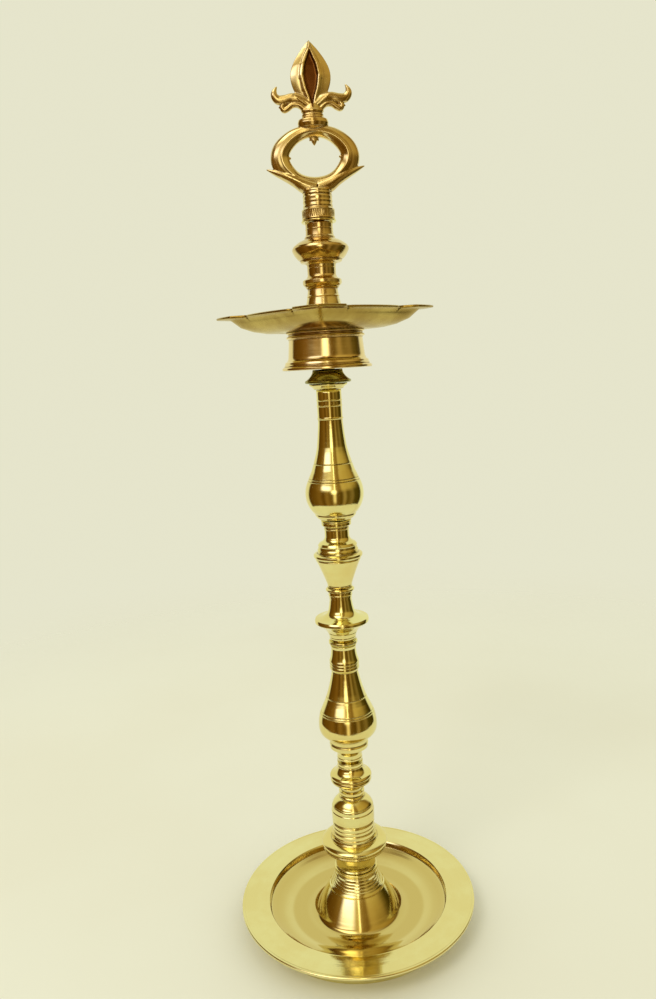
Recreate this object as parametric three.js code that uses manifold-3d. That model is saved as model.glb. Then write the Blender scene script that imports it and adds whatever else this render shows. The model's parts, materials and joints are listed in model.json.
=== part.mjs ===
// Standing brass oil lamp: a dished base, a stem of turned sections screwed end to end,
// a four-cornered wick plate on a drum, and a cast ring and leaf finial.
// Millimetres, +Z up, the lamp's axis on Z, its front facing -Y.
import * as THREE from "three";
import { mergeVertices } from "three/addons/utils/BufferGeometryUtils.js";
import Module from "manifold-3d";

// ---- Driving dimensions -------------------------------------------------------------------

const LAMP_HEIGHT = 610; // from the floor to the leaf's tip
const JOINT_GAP = 0.3; // clearance between pieces that touch
const BORE_GAP = 0.3; // radial clearance around a stud or pin
const STEM_SIDES = 24;
const BASE_SIDES = 40;
const STUD_SIDES = 16;
const CURVE_STEPS = 3;

const LARGE_STUD = 5; // radius of an M10 stud
const SMALL_STUD = 4; // radius of an M8 stud
const PIN = 2.2; // radius of the plain pins in the finial
const LARGE_BORE = LARGE_STUD + BORE_GAP;
const SMALL_BORE = SMALL_STUD + BORE_GAP;
const PIN_BORE = PIN + BORE_GAP;

const BASE_RADIUS = 86.4;
const FOOT_RADIUS = 70.5;
const FOOT_WIDTH = 4;
const RIM_TOP = 18;
const CONE_ROOF = 31.4; // underside of the solid top of the base's cone

const PLATE_FLOOR = 2.4;
const PLATE_RIM_HEIGHT = 12.4;
const FLANGE = 1.8; // thickness of the plate's flat rim
const LIP_RADIUS = 72.2; // from the axis to a spout's tip
const LIP_HALF_WIDTH = 16.3;
const EDGE_DISTANCE = 48.8; // from the axis to the chord of an edge between two spouts
const EDGE_BOW = 2.2; // how far such an edge bows out from its chord
const PLATE_TURN = THREE.MathUtils.degToRad(-3);
const PLATE_LOOP = 64; // points in one loop of the plate's bowl

const FINIAL_TURN = THREE.MathUtils.degToRad(4);
const RING_OUTER = { halfWidth: 28.9, halfHeight: 20.2, height: 23.2 };
const RING_INNER = { halfWidth: 17, halfHeight: 11.6, height: 24 };
const RING_DEPTH = 8.6; // front to back
const CRADLE_DEPTH = 6.4;
const LEAF_DEPTH = 5;
const SCROLL_DEPTH = 4.2;

// The stack from the floor up: each piece's height. The leaf takes what is left of the lamp's height.
const HEIGHTS = {
  base_dish: 38.4,
  base_ring: 2.7,
  base_knop: 57,
  lower_disc: 25.8,
  lower_pear: 88.5,
  middle_ring: 2.2,
  middle_disc: 38.6,
  bead_knop: 48.3,
  upper_pear: 88.4,
  plate_ring: 3.8,
  plate_collar: 9,
  plate_drum: 24.6,
  plate_floor: PLATE_FLOOR,
  oil_washer: 1.2,
  top_stem: 64.5,
  finial_washer: 1.4,
  finial_socket: 14.8,
  finial_ring: 48.2,
};

function stackLevels(heights) {
  const levels = {};
  let level = 0;
  for (const [name, height] of Object.entries(heights)) {
    levels[name] = { bottom: level, top: level + height, height };
    level += height + JOINT_GAP;
  }
  levels.finial_leaf = { bottom: level, top: LAMP_HEIGHT, height: LAMP_HEIGHT - level };
  return levels;
}

const AT = stackLevels(HEIGHTS);

// ---- Materials ----------------------------------------------------------------------------

function brass(colour, roughness) {
  return new THREE.MeshStandardMaterial({ color: colour, metalness: 1, roughness });
}

const polishedBrass = () => brass(0xd8b65a, 0.16);
const castBrass = () => brass(0xb08a3c, 0.3);
const drumBrass = () => brass(0xb98a3e, 0.22);
const plateBrass = () => brass(0xb7a04c, 0.3);
const steel = () => new THREE.MeshStandardMaterial({ color: 0x8d8d88, metalness: 1, roughness: 0.4 });
const leather = () => new THREE.MeshStandardMaterial({ color: 0x4a2f1c, metalness: 0, roughness: 0.85 });

// ---- Shape helpers ------------------------------------------------------------------------

const lamp = new THREE.Group();

function place(name, geometry, material, bottom, turn = 0) {
  const mesh = new THREE.Mesh(geometry, material);
  mesh.name = name;
  mesh.position.z = bottom;
  mesh.rotation.z = turn;
  lamp.add(mesh);
}

// An outline is a path in radius and height. It starts at a turned piece's bottom edge.
function outline(radius, height) {
  return new THREE.Path().moveTo(radius, height);
}

function revolve(points, sides) {
  const geometry = new THREE.LatheGeometry(points, sides);
  geometry.rotateX(Math.PI / 2);
  return geometry;
}

// Revolves an outer outline, with a blind hole of bore.depth in its bottom face, its top face or both.
function turned(path, { bottomBore, topBore, sides = STEM_SIDES } = {}) {
  const outer = path.getPoints(CURVE_STEPS);
  const bottom = outer[0].y;
  const top = outer.at(-1).y;
  const points = [...outer];
  if (bottomBore) {
    points.unshift(new THREE.Vector2(bottomBore.radius, bottom));
    points.unshift(new THREE.Vector2(bottomBore.radius, bottom + bottomBore.depth));
    points.unshift(new THREE.Vector2(0, bottom + bottomBore.depth));
  } else {
    points.unshift(new THREE.Vector2(0, bottom));
  }
  if (topBore) {
    points.push(new THREE.Vector2(topBore.radius, top));
    points.push(new THREE.Vector2(topBore.radius, top - topBore.depth));
    points.push(new THREE.Vector2(0, top - topBore.depth));
  } else {
    points.push(new THREE.Vector2(0, top));
  }
  return revolve(points, sides);
}

// Revolves an outer outline around a hole that goes right through.
function turnedRing(path, holeRadius, sides = STEM_SIDES) {
  const outer = path.getPoints(CURVE_STEPS);
  const bottom = outer[0].y;
  const top = outer.at(-1).y;
  const points = [new THREE.Vector2(holeRadius, bottom), ...outer, new THREE.Vector2(holeRadius, top)];
  points.push(points[0].clone());
  return revolve(points, sides);
}

function triangleMesh(vertices, triangles) {
  const geometry = new THREE.BufferGeometry();
  geometry.setAttribute("position", new THREE.Float32BufferAttribute(vertices, 3));
  geometry.setIndex(triangles);
  return geometry;
}

// Skins a ring of loops: loop k joins loop k + 1, and the last joins the first.
function skinnedRing(loops) {
  const count = loops[0].length;
  const vertices = loops.flat().flatMap((point) => [point.x, point.y, point.z]);
  const triangles = [];
  for (let k = 0; k < loops.length; k += 1) {
    const here = k * count;
    const next = ((k + 1) % loops.length) * count;
    for (let i = 0; i < count; i += 1) {
      const j = (i + 1) % count;
      triangles.push(here + i, here + j, next + j);
      triangles.push(here + i, next + j, next + i);
    }
  }
  return triangleMesh(vertices, triangles);
}

function rod(radius, bottom, top) {
  const geometry = new THREE.CylinderGeometry(radius, radius, top - bottom, STUD_SIDES);
  geometry.rotateX(Math.PI / 2);
  geometry.translate(0, 0, (bottom + top) / 2);
  return geometry;
}

// An outline in X and Z, given depth front to back along Y.
function frontPlate(shape, depth, bevel) {
  const settings = { depth: depth - 2 * bevel, bevelSize: bevel, bevelOffset: -bevel };
  const geometry = new THREE.ExtrudeGeometry(shape, {
    ...settings,
    bevelThickness: bevel,
    bevelSegments: 1,
    curveSegments: 6,
  });
  geometry.rotateX(Math.PI / 2);
  geometry.translate(0, depth / 2 - bevel, 0);
  return geometry;
}

// ---- Joining and cutting ------------------------------------------------------------------

const wasm = await Module();
wasm.setup();

function solid(geometry) {
  const plain = geometry.clone();
  plain.deleteAttribute("normal");
  plain.deleteAttribute("uv");
  const merged = mergeVertices(plain);
  const vertProperties = new Float32Array(merged.attributes.position.array);
  const triVerts = new Uint32Array(merged.index.array);
  return new wasm.Manifold(new wasm.Mesh({ numProp: 3, vertProperties, triVerts }));
}

function meshOf(manifold) {
  const { vertProperties, triVerts } = manifold.getMesh();
  return triangleMesh(Array.from(vertProperties), Array.from(triVerts));
}

function joined(...geometries) {
  return geometries.map(solid).reduce((whole, piece) => whole.add(piece));
}

// ---- Base ---------------------------------------------------------------------------------

function baseDish() {
  const footInner = FOOT_RADIUS - FOOT_WIDTH;
  const top = AT.base_dish.top;
  const path = outline(footInner, 0)
    .lineTo(FOOT_RADIUS, 0)
    .lineTo(FOOT_RADIUS, 12)
    .quadraticCurveTo(FOOT_RADIUS, 15, FOOT_RADIUS + 3, 15.2)
    .lineTo(BASE_RADIUS - 1.2, 15.6)
    .quadraticCurveTo(BASE_RADIUS, 15.7, BASE_RADIUS, 16.8)
    .quadraticCurveTo(BASE_RADIUS, RIM_TOP, BASE_RADIUS - 1.2, RIM_TOP)
    .lineTo(66.2, RIM_TOP - 0.4)
    .lineTo(65.4, RIM_TOP - 1.2)
    .lineTo(65, 13.6)
    .quadraticCurveTo(52, 6.4, 39, 6.4)
    .quadraticCurveTo(33.2, 6.4, 31.4, 9.2)
    .lineTo(20.2, 26)
    .lineTo(20.6, 27)
    .lineTo(19.4, 28)
    .quadraticCurveTo(16.4, 33.4, 15.6, 36.6)
    .lineTo(14.9, top);
  const under = outline(LARGE_BORE, top)
    .lineTo(LARGE_BORE, CONE_ROOF)
    .lineTo(13.4, CONE_ROOF)
    .lineTo(17.4, 25)
    .lineTo(29.6, 6)
    .quadraticCurveTo(31.8, 3.4, 38, 3.4)
    .quadraticCurveTo(52, 3.6, 63, 10.6)
    .lineTo(footInner, 10.6)
    .lineTo(footInner, 0);
  return revolve([...path.getPoints(CURVE_STEPS), ...under.getPoints(CURVE_STEPS)], BASE_SIDES);
}

function hexagonNut(acrossFlats, height, holeRadius) {
  const corner = acrossFlats / 2 / Math.cos(Math.PI / 6);
  const shape = new THREE.Shape();
  for (let i = 0; i < 6; i += 1) {
    const angle = (i * Math.PI) / 3;
    const point = [corner * Math.cos(angle), corner * Math.sin(angle)];
    if (i === 0) shape.moveTo(...point);
    else shape.lineTo(...point);
  }
  shape.closePath();
  shape.holes.push(new THREE.Path().absarc(0, 0, holeRadius, 0, 2 * Math.PI, true));
  return new THREE.ExtrudeGeometry(shape, { depth: height, bevelEnabled: false, curveSegments: 8 });
}

const NUT = { acrossFlats: 17, height: 8 };
const WASHER = { radius: 10.5, thickness: 1.6 };
const washerBottom = CONE_ROOF - JOINT_GAP - WASHER.thickness;
const nutBottom = washerBottom - JOINT_GAP - NUT.height;

place("base_dish", baseDish(), polishedBrass(), AT.base_dish.bottom);
place(
  "base_washer",
  turnedRing(outline(WASHER.radius, 0).lineTo(WASHER.radius, WASHER.thickness), LARGE_BORE),
  steel(),
  washerBottom,
);
place("base_nut", hexagonNut(NUT.acrossFlats, NUT.height, LARGE_BORE), steel(), nutBottom);

// ---- Stem sections ------------------------------------------------------------------------

function baseRing() {
  const path = outline(14.8, 0).quadraticCurveTo(16.4, 1.35, 14.8, AT.base_ring.height);
  return turnedRing(path, LARGE_BORE);
}

function baseKnop() {
  const path = outline(14.8, 0)
    .quadraticCurveTo(14, 7.5, 15.6, 13.6)
    .lineTo(22.9, 14.6)
    .lineTo(23.4, 16.6)
    .lineTo(22.8, 17.4)
    .lineTo(24, 18.6)
    .lineTo(24.1, 20.4)
    .quadraticCurveTo(21.5, 22.9, 16.9, 23)
    .lineTo(16.2, 24.4)
    .lineTo(15.9, 29.6)
    .lineTo(15.3, 30.2)
    .lineTo(15.4, 37)
    .quadraticCurveTo(14.6, 39.6, 15.6, 42.6)
    .quadraticCurveTo(16.8, 50.6, 9.2, 54.6)
    .lineTo(9, AT.base_knop.height);
  return turned(path, {
    bottomBore: { radius: LARGE_BORE, depth: 16 },
    topBore: { radius: LARGE_BORE, depth: 16 },
  });
}

function lowerDisc() {
  const path = outline(8.8, 0)
    .lineTo(9.3, 2.6)
    .lineTo(7.9, 3.6)
    .lineTo(8, 4.8)
    .quadraticCurveTo(8.6, 7.8, 10.3, 8.6)
    .lineTo(14.4, 9.8)
    .lineTo(14.8, 11.2)
    .lineTo(15.2, 14)
    .lineTo(15, 15.6)
    .quadraticCurveTo(9.6, 17.2, 9, 21.6)
    .lineTo(9.3, AT.lower_disc.height);
  return turnedRing(path, LARGE_BORE);
}

function lowerPear() {
  const path = outline(9.2, 0)
    .lineTo(9, 5.4)
    .quadraticCurveTo(9.6, 8.8, 13.2, 10.2)
    .lineTo(13.9, 11)
    .lineTo(13.8, 18.6)
    .quadraticCurveTo(20.6, 20.4, 21, 26.8)
    .quadraticCurveTo(21.2, 32.4, 19.4, 38)
    .lineTo(16, 45.2)
    .quadraticCurveTo(10.8, 57.6, 9.3, 68.6)
    .lineTo(10.5, 70.4)
    .lineTo(10.4, 76.4)
    .quadraticCurveTo(9.4, 80.4, 8.8, 84.4)
    .lineTo(9.5, AT.lower_pear.height);
  return turned(path, {
    bottomBore: { radius: LARGE_BORE, depth: 16 },
    topBore: { radius: LARGE_BORE, depth: 15 },
  });
}

function middleRing() {
  const path = outline(9.6, 0).quadraticCurveTo(10.6, 1.1, 9.6, AT.middle_ring.height);
  return turnedRing(path, LARGE_BORE);
}

function middleDisc() {
  const path = outline(9.5, 0)
    .lineTo(9.4, 3)
    .quadraticCurveTo(10.8, 8.8, 17.6, 12.4)
    .lineTo(19.1, 13.6)
    .lineTo(19.1, 16)
    .quadraticCurveTo(10, 16.6, 8.9, 22.8)
    .lineTo(7.9, 30)
    .lineTo(8.5, 35.4)
    .lineTo(10.1, 36.6)
    .lineTo(10.1, 37.6)
    .lineTo(8.6, AT.middle_disc.height);
  return turned(path, {
    bottomBore: { radius: LARGE_BORE, depth: 15 },
    topBore: { radius: SMALL_BORE, depth: 12 },
  });
}

function beadKnop() {
  const path = outline(8.8, 0)
    .lineTo(9, 3)
    .quadraticCurveTo(11.6, 10.8, 15.6, 19.8)
    .lineTo(16.4, 21.2)
    .lineTo(17.1, 22.3)
    .lineTo(17.1, 23.9)
    .lineTo(14.2, 24.9)
    .lineTo(13.8, 28.4)
    .lineTo(13.2, 30.6)
    .lineTo(12.4, 32)
    .quadraticCurveTo(8.9, 33.2, 8.5, 36)
    .lineTo(8.5, 43)
    .lineTo(10.4, 44.2)
    .lineTo(10.6, AT.bead_knop.height);
  return turned(path, {
    bottomBore: { radius: SMALL_BORE, depth: 13.4 },
    topBore: { radius: SMALL_BORE, depth: 13.4 },
  });
}

function upperPear() {
  const path = outline(11.4, 0)
    .lineTo(14.4, 2.8)
    .lineTo(15.2, 4.6)
    .quadraticCurveTo(20, 10, 20.2, 17.2)
    .quadraticCurveTo(20, 24.4, 16.4, 30.2)
    .quadraticCurveTo(11.2, 42, 10.2, 49.4)
    .quadraticCurveTo(8.8, 60.4, 8.5, 66.6)
    .lineTo(8.8, 68.6)
    .lineTo(8.8, 82)
    .lineTo(8.6, AT.upper_pear.height);
  return turned(path, {
    bottomBore: { radius: SMALL_BORE, depth: 13.4 },
    topBore: { radius: LARGE_BORE, depth: 15 },
  });
}

place("base_ring", baseRing(), polishedBrass(), AT.base_ring.bottom);
place("base_knop", baseKnop(), polishedBrass(), AT.base_knop.bottom);
place("lower_disc", lowerDisc(), polishedBrass(), AT.lower_disc.bottom);
place("lower_pear", lowerPear(), polishedBrass(), AT.lower_pear.bottom);
place("middle_ring", middleRing(), polishedBrass(), AT.middle_ring.bottom);
place("middle_disc", middleDisc(), polishedBrass(), AT.middle_disc.bottom);
place("bead_knop", beadKnop(), polishedBrass(), AT.bead_knop.bottom);
place("upper_pear", upperPear(), polishedBrass(), AT.upper_pear.bottom);

// ---- Plate, drum and collar ---------------------------------------------------------------

const DRUM_FOOT = 30;
const DRUM_LOW = 25.7;
const DRUM_HIGH = 24.7;
const DRUM_WALL = 2.4;
const HUB_RADIUS = 10.4;
const DRUM_ROOF = 4.2;

function plateRing() {
  return turnedRing(outline(10, 0).lineTo(13, 2.6).lineTo(12.9, AT.plate_ring.height), LARGE_BORE);
}

function plateCollar() {
  const path = outline(14.9, 0)
    .lineTo(15.7, 1.4)
    .quadraticCurveTo(11, 4.4, 9.9, AT.plate_collar.height);
  return turnedRing(path, LARGE_BORE);
}

// The drum is a cup that opens downwards, with a hub in the middle that is tapped at both ends.
function plateDrum() {
  const top = AT.plate_drum.height;
  const outer = outline(DRUM_FOOT, 0)
    .lineTo(DRUM_FOOT + 0.2, 2)
    .lineTo(28.4, 3.4)
    .lineTo(28, 5)
    .quadraticCurveTo(25.9, 6, DRUM_LOW, 8.6)
    .lineTo(DRUM_HIGH, 19.8)
    .lineTo(26.2, 20.8)
    .lineTo(26.2, top)
    .getPoints(CURVE_STEPS);
  const inside = [
    [LARGE_BORE, top],
    [LARGE_BORE, top - 16],
    [0, top - 16],
  ];
  const underneath = [
    [0, 6.2],
    [LARGE_BORE, 6.2],
    [LARGE_BORE, 0],
    [HUB_RADIUS, 0],
    [HUB_RADIUS, top - DRUM_ROOF],
    [DRUM_HIGH - DRUM_WALL, top - DRUM_ROOF],
    [DRUM_LOW - DRUM_WALL, 7.6],
    [DRUM_FOOT - DRUM_WALL, 0],
  ];
  const corners = (list) => list.map(([radius, height]) => new THREE.Vector2(radius, height));
  return revolve([...corners(underneath), ...outer, ...corners(inside)], 36);
}

// A square with rounded sides in polar form: a higher sharpness makes tighter corners.
function squareLoop(edge, sharpness, height) {
  const loop = [];
  for (let i = 0; i < PLATE_LOOP; i += 1) {
    const angle = (i * 2 * Math.PI) / PLATE_LOOP;
    const across = Math.abs(Math.cos(angle + Math.PI / 4)) ** sharpness;
    const along = Math.abs(Math.sin(angle + Math.PI / 4)) ** sharpness;
    const radius = edge / (across + along) ** (1 / sharpness);
    loop.push(new THREE.Vector3(radius * Math.cos(angle), radius * Math.sin(angle), height));
  }
  return loop;
}

function plateBowl() {
  const rim = PLATE_RIM_HEIGHT;
  const round = 2;
  return skinnedRing([
    squareLoop(LARGE_BORE, round, 0),
    squareLoop(29, round, 0),
    squareLoop(33.4, 6, 1),
    squareLoop(42.2, 10, 5),
    squareLoop(45.6, 14, 9.8),
    squareLoop(47, 14, rim),
    squareLoop(44.8, 14, rim),
    squareLoop(43.2, 14, 10),
    squareLoop(39.8, 10, 6.2),
    squareLoop(32, 6, 3.2),
    squareLoop(28, round, PLATE_FLOOR),
    squareLoop(LARGE_BORE, round, PLATE_FLOOR),
  ]);
}

// Where an edge meets the right side of the spout that points along X.
const NOTCH = { x: EDGE_DISTANCE * Math.SQRT2 - LIP_HALF_WIDTH - 4, y: LIP_HALF_WIDTH + 4 };

// One quarter of the rim: a bowed edge, then a spout pointing along the quarter's own X.
function rimQuarter(shape, turn) {
  const at = (x, y) => {
    return [x * Math.cos(turn) - y * Math.sin(turn), x * Math.sin(turn) + y * Math.cos(turn)];
  };
  const bowed = (EDGE_DISTANCE + 2 * EDGE_BOW) / Math.SQRT2;
  shape.quadraticCurveTo(...at(bowed, -bowed), ...at(NOTCH.x, -NOTCH.y));
  shape.quadraticCurveTo(...at(NOTCH.x - 1.6, -LIP_HALF_WIDTH), ...at(NOTCH.x + 3, -LIP_HALF_WIDTH));
  shape.lineTo(...at(60.5, -LIP_HALF_WIDTH));
  shape.quadraticCurveTo(...at(67.5, -LIP_HALF_WIDTH * 0.6), ...at(LIP_RADIUS, 0));
  shape.quadraticCurveTo(...at(67.5, LIP_HALF_WIDTH * 0.6), ...at(60.5, LIP_HALF_WIDTH));
  shape.lineTo(...at(NOTCH.x + 3, LIP_HALF_WIDTH));
  shape.quadraticCurveTo(...at(NOTCH.x - 1.6, LIP_HALF_WIDTH), ...at(NOTCH.x, NOTCH.y));
}

function plateRim() {
  const shape = new THREE.Shape();
  shape.moveTo(NOTCH.y, -NOTCH.x);
  for (let corner = 0; corner < 4; corner += 1) rimQuarter(shape, (corner * Math.PI) / 2);
  shape.closePath();
  const opening = squareLoop(45.8, 14, 0).reverse();
  shape.holes.push(new THREE.Path(opening.map((point) => new THREE.Vector2(point.x, point.y))));
  const settings = { depth: FLANGE, bevelEnabled: false, curveSegments: 4 };
  return new THREE.ExtrudeGeometry(shape, settings).translate(0, 0, PLATE_RIM_HEIGHT - FLANGE);
}

function wickPlate() {
  return meshOf(joined(plateBowl(), plateRim()));
}

place("plate_ring", plateRing(), polishedBrass(), AT.plate_ring.bottom);
place("plate_collar", plateCollar(), castBrass(), AT.plate_collar.bottom);
place("plate_drum", plateDrum(), drumBrass(), AT.plate_drum.bottom);
place("wick_plate", wickPlate(), plateBrass(), AT.plate_floor.bottom, PLATE_TURN);

// ---- Top stem -----------------------------------------------------------------------------

function topStem() {
  const path = outline(13.4, 0)
    .quadraticCurveTo(11.6, 14, 10.6, 18)
    .lineTo(9.8, 23.2)
    .lineTo(11, 24.2)
    .lineTo(12.8, 26)
    .lineTo(12.8, 28.6)
    .quadraticCurveTo(9.6, 29.6, 9.4, 32)
    .lineTo(9.5, 38.4)
    .lineTo(13.6, 40)
    .lineTo(14.8, 41.8)
    .lineTo(18, 46)
    .lineTo(18.6, 47.4)
    .lineTo(18.5, 49.4)
    .quadraticCurveTo(15, 52.8, 10.4, 54.4)
    .quadraticCurveTo(8.8, 56, 9, AT.top_stem.height);
  return turned(path, {
    bottomBore: { radius: LARGE_BORE, depth: 16 },
    topBore: { radius: SMALL_BORE, depth: 14 },
  });
}

function plainRing(radius, height, hole) {
  return turnedRing(outline(radius, 0).lineTo(radius, height), hole);
}

place("oil_washer", plainRing(12.4, AT.oil_washer.height, LARGE_BORE), leather(), AT.oil_washer.bottom);
place("top_stem", topStem(), castBrass(), AT.top_stem.bottom);
place(
  "finial_washer",
  plainRing(11.4, AT.finial_washer.height, SMALL_BORE),
  polishedBrass(),
  AT.finial_washer.bottom,
);

// ---- Finial -------------------------------------------------------------------------------

function finialSocket() {
  const path = outline(10.9, 0)
    .lineTo(10.9, 5.6)
    .lineTo(9.4, 7)
    .lineTo(9, 9.2)
    .lineTo(9.6, AT.finial_socket.height);
  return turned(path, {
    bottomBore: { radius: SMALL_BORE, depth: 8.8 },
    topBore: { radius: PIN_BORE, depth: 4.6 },
  });
}

// The finger ring: an oval section swept between an inner and an outer oval.
function fingerRing() {
  const stations = 32;
  const sectionSides = 10;
  const loops = [];
  for (let k = 0; k < stations; k += 1) {
    const turn = (k * 2 * Math.PI) / stations;
    const onOval = (oval) => {
      return new THREE.Vector2(oval.halfWidth * Math.cos(turn), oval.height + oval.halfHeight * Math.sin(turn));
    };
    const inner = onOval(RING_INNER);
    const outer = onOval(RING_OUTER);
    const centre = inner.clone().add(outer).multiplyScalar(0.5);
    const reach = outer.clone().sub(centre);
    const loop = [];
    for (let i = 0; i < sectionSides; i += 1) {
      const angle = (i * 2 * Math.PI) / sectionSides;
      const point = centre.clone().addScaledVector(reach, Math.cos(angle));
      loop.push(new THREE.Vector3(point.x, (RING_DEPTH / 2) * Math.sin(angle), point.y));
    }
    loops.push(loop);
  }
  return skinnedRing(loops);
}

// Mirrors a path's right half about the axis: points lists [x, z] from the bottom up the right side.
function mirroredShape(points) {
  const left = points.map(([x, z]) => [-x, z]).reverse();
  return new THREE.Shape([...points, ...left].map(([x, z]) => new THREE.Vector2(x, z)));
}

// The cup of pointed leaves that holds the ring from below.
function cradle() {
  const side = [
    [8, 0.6],
    [10.6, 2.6],
    [16, 6.6],
    [22.4, 10.8],
    [28.6, 14.8],
    [31.4, 16.2],
    [27.4, 17.6],
    [20, 13.4],
    [12, 9],
    [3, 7.4],
  ];
  return frontPlate(mirroredShape(side), CRADLE_DEPTH, 1);
}

// The cushion on top of the ring that carries the leaf.
function ringCollar() {
  const top = AT.finial_ring.height;
  const path = outline(8.4, 41.6)
    .quadraticCurveTo(10.2, 44.8, 8.6, top - 1)
    .lineTo(7.4, top);
  return turned(path, { sides: 20 }).scale(1, 0.7, 1);
}

function pendant() {
  return new THREE.ConeGeometry(2.2, 4.8, 8).rotateX(-Math.PI / 2).translate(0, 0, 34);
}

function finialRing() {
  const neck = turned(outline(9.4, 0).lineTo(9.6, 1.4).lineTo(8, 6), { sides: 20 });
  const pinHoles = [
    rod(PIN_BORE, -1, 6.4),
    rod(PIN_BORE, AT.finial_ring.height - 6.4, AT.finial_ring.height + 1),
  ];
  const body = joined(fingerRing(), cradle(), neck, ringCollar(), pendant());
  return meshOf(pinHoles.map(solid).reduce((whole, hole) => whole.subtract(hole), body));
}

function leafBlade(height) {
  const shape = new THREE.Shape();
  shape.moveTo(0, 5);
  shape.lineTo(4.4, 6.6);
  shape.bezierCurveTo(9.6, 10, 12.8, 17, 12.8, 24);
  shape.bezierCurveTo(12.8, 31, 8, 36, 0, height);
  shape.bezierCurveTo(-8, 36, -12.8, 31, -12.8, 24);
  shape.bezierCurveTo(-12.8, 17, -9.6, 10, -4.4, 6.6);
  shape.closePath();
  return frontPlate(shape, LEAF_DEPTH, 1.4);
}

function leafScroll(side) {
  const shape = new THREE.Shape();
  shape.moveTo(side * 2, 2.2);
  shape.lineTo(side * 6.2, 2.2);
  shape.quadraticCurveTo(side * 9, 7.6, side * 12.6, 6.2);
  shape.lineTo(side * 16.2, 3);
  shape.lineTo(side * 19, 5.2);
  shape.lineTo(side * 19.6, 7.6);
  shape.quadraticCurveTo(side * 25.6, 9, side * 24.8, 13.6);
  shape.lineTo(side * 21.7, 18.2);
  shape.quadraticCurveTo(side * 21.6, 11.8, side * 18, 11.4);
  shape.lineTo(side * 10.6, 11.4);
  shape.lineTo(side * 2, 11.4);
  shape.closePath();
  return frontPlate(shape, SCROLL_DEPTH, 0.8);
}

function finialLeaf() {
  const height = AT.finial_leaf.height;
  const foot = turned(outline(6, 0).lineTo(6, 2).lineTo(6.6, 3.2).lineTo(5, 7), { sides: 16 });
  const blade = leafBlade(height);
  const body = joined(foot.scale(1, 0.62, 1), blade, leafScroll(1), leafScroll(-1));
  return meshOf(body.subtract(solid(rod(PIN_BORE, -1, 6))));
}

place("finial_socket", finialSocket(), castBrass(), AT.finial_socket.bottom);
place("finial_ring", finialRing(), castBrass(), AT.finial_ring.bottom, FINIAL_TURN);
place("finial_leaf", finialLeaf(), castBrass(), AT.finial_leaf.bottom, FINIAL_TURN);

// ---- Studs and pins -----------------------------------------------------------------------

// Each stud reaches down into one piece and up into the next, and stops short of both holes' ends.
const END_GAP = 0.6;

function stud(name, radius, bottom, top) {
  place(name, rod(radius, 0, top - bottom), polishedBrass(), bottom);
}

stud("base_stud", LARGE_STUD, nutBottom - 3, AT.base_knop.bottom + 16 - END_GAP);
stud("lower_stud", LARGE_STUD, AT.base_knop.top - 16 + END_GAP, AT.lower_pear.bottom + 16 - END_GAP);
stud("middle_stud", LARGE_STUD, AT.lower_pear.top - 15 + END_GAP, AT.middle_disc.bottom + 15 - END_GAP);
stud("bead_stud", SMALL_STUD, AT.middle_disc.top - 12 + END_GAP, AT.bead_knop.bottom + 13.4 - END_GAP);
stud("pear_stud", SMALL_STUD, AT.bead_knop.top - 13.4 + END_GAP, AT.upper_pear.bottom + 13.4 - END_GAP);
stud("plate_stud", LARGE_STUD, AT.upper_pear.top - 15 + END_GAP, AT.plate_drum.bottom + 6.2 - END_GAP);
stud("top_stud", LARGE_STUD, AT.plate_drum.top - 16 + END_GAP, AT.top_stem.bottom + 16 - END_GAP);
stud("finial_stud", SMALL_STUD, AT.top_stem.top - 14 + END_GAP, AT.finial_socket.bottom + 8.8 - END_GAP);
stud("ring_pin", PIN, AT.finial_socket.top - 4.6 + END_GAP, AT.finial_ring.bottom + 6.4 - END_GAP);
stud("leaf_pin", PIN, AT.finial_ring.top - 6.4 + END_GAP, AT.finial_leaf.bottom + 6 - END_GAP);

export default lamp;
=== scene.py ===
"""Looks of the standing brass oil lamp: turned sections, cast finial, finishes, studio and camera.

Lengths in the tables are millimetres. Heights in an outline count from its own piece's bottom.
"""
import json
import math

import bmesh
import bpy
import numpy as np
from mathutils import Matrix, Vector


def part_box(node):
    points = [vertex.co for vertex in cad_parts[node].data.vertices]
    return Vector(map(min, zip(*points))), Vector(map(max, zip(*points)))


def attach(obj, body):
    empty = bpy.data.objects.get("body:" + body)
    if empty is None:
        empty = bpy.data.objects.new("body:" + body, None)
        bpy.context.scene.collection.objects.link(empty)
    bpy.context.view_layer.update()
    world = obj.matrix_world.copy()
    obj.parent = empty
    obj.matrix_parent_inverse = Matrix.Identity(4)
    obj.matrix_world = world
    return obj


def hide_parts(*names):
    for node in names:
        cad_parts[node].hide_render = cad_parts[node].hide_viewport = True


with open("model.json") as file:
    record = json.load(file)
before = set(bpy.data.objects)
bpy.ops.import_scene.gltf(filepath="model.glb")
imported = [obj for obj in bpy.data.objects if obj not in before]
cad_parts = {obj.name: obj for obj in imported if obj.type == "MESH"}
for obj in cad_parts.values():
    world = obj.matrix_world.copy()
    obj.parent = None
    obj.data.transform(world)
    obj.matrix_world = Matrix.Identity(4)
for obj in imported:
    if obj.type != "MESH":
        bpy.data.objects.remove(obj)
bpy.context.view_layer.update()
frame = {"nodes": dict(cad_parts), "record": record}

MM = 0.001
TURN_SIDES = 96  # faces round a stem section
WIDE_SIDES = 192  # faces round the base
FILLET = 0.22  # rounding of a turned piece's crisp corners
CRISP = math.radians(14)  # a corner that bends more than this is rounded
FINIAL_TURN = math.radians(4)  # how far the tightened finial stands from square to the front
PLATE_TURN = math.radians(-3)  # and the wick plate
BODIES = frame["record"]["behaviour"]["bodies"]
BODY_OF = {node: body for body, nodes in BODIES.items() for node in nodes}


# ---- Meshes ----


def bottom_of(node):
    """Height of a CAD node's lowest point, in millimetres."""
    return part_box(node)[0].z / MM


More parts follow.
